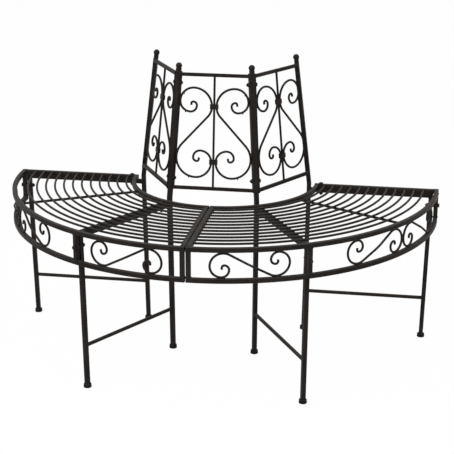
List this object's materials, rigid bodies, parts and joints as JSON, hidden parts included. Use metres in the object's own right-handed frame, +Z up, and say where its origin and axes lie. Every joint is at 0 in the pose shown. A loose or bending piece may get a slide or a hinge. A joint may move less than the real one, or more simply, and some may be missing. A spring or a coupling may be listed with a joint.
{
  "type": "semicircular garden bench",
  "caption": "Half-round garden bench for the foot of a tree, in brown-black powder-coated steel: slatted seat, scrolled skirt and leaning back panels with heart-shaped scrolls.",
  "frame": {"origin": "on the floor, under the middle of the whole outline", "axes": "+Z is up, -Y is the rounded front where people sit, +Y is the straight side where the tree stands, and +X is to the right for someone who faces the bench from its front"},
  "size_m": [1.208, 0.6107, 0.8085],
  "materials": {
    "powder_coat": "brown-black powder coat, satin, with a fine orange-peel texture",
    "fastener_steel": "blackened bolts, nuts and spacers, semi-matt",
    "foot_plastic": "black moulded plastic, matt"
  },
  "bodies": {
    "root": {"back_post_left_end": "powder_coat", "back_post_left_middle": "powder_coat", "back_post_right_end": "powder_coat", "back_post_right_middle": "powder_coat", "ball_finials": "powder_coat", "bearer_left_end": "powder_coat", "bearer_left_middle": "powder_coat", "bearer_right_end": "powder_coat", "bearer_right_middle": "powder_coat", "bolt_spacers": "fastener_steel", "centre_panel_bottom_rail": "powder_coat", "centre_panel_centre_rod": "powder_coat", "centre_panel_scrolls": "powder_coat", "centre_panel_stiles": "powder_coat", "centre_panel_top_rail": "powder_coat", "foot_caps": "foot_plastic", "front_leg_left_end": "powder_coat", "front_leg_left_middle": "powder_coat", "front_leg_right_end": "powder_coat", "front_leg_right_middle": "powder_coat", "hex_nuts": "fastener_steel", "left_cross_bar": "powder_coat", "left_end_bar": "powder_coat", "left_inner_rim": "powder_coat", "left_lower_rim": "powder_coat", "left_panel_bottom_rail": "powder_coat", "left_panel_centre_rod": "powder_coat", "left_panel_scrolls": "powder_coat", "left_panel_stiles": "powder_coat", "left_panel_top_rail": "powder_coat", "left_seam_bar": "powder_coat", "left_seat_slats": "powder_coat", "left_skirt_scrolls": "powder_coat", "left_skirt_uprights": "powder_coat", "left_support_rod": "powder_coat", "left_upper_rim": "powder_coat", "leg_bolts": "fastener_steel", "panel_bolts": "fastener_steel", "right_cross_bar": "powder_coat", "right_end_bar": "powder_coat", "right_inner_rim": "powder_coat", "right_lower_rim": "powder_coat", "right_panel_bottom_rail": "powder_coat", "right_panel_centre_rod": "powder_coat", "right_panel_scrolls": "powder_coat", "right_panel_stiles": "powder_coat", "right_panel_top_rail": "powder_coat", "right_seam_bar": "powder_coat", "right_seat_slats": "powder_coat", "right_skirt_scrolls": "powder_coat", "right_skirt_uprights": "powder_coat", "right_support_rod": "powder_coat", "right_upper_rim": "powder_coat", "scroll_collars": "powder_coat", "seat_bolts": "fastener_steel", "stretcher_left_end": "powder_coat", "stretcher_left_middle": "powder_coat", "stretcher_right_end": "powder_coat", "stretcher_right_middle": "powder_coat"}
  },
  "joints": []
}
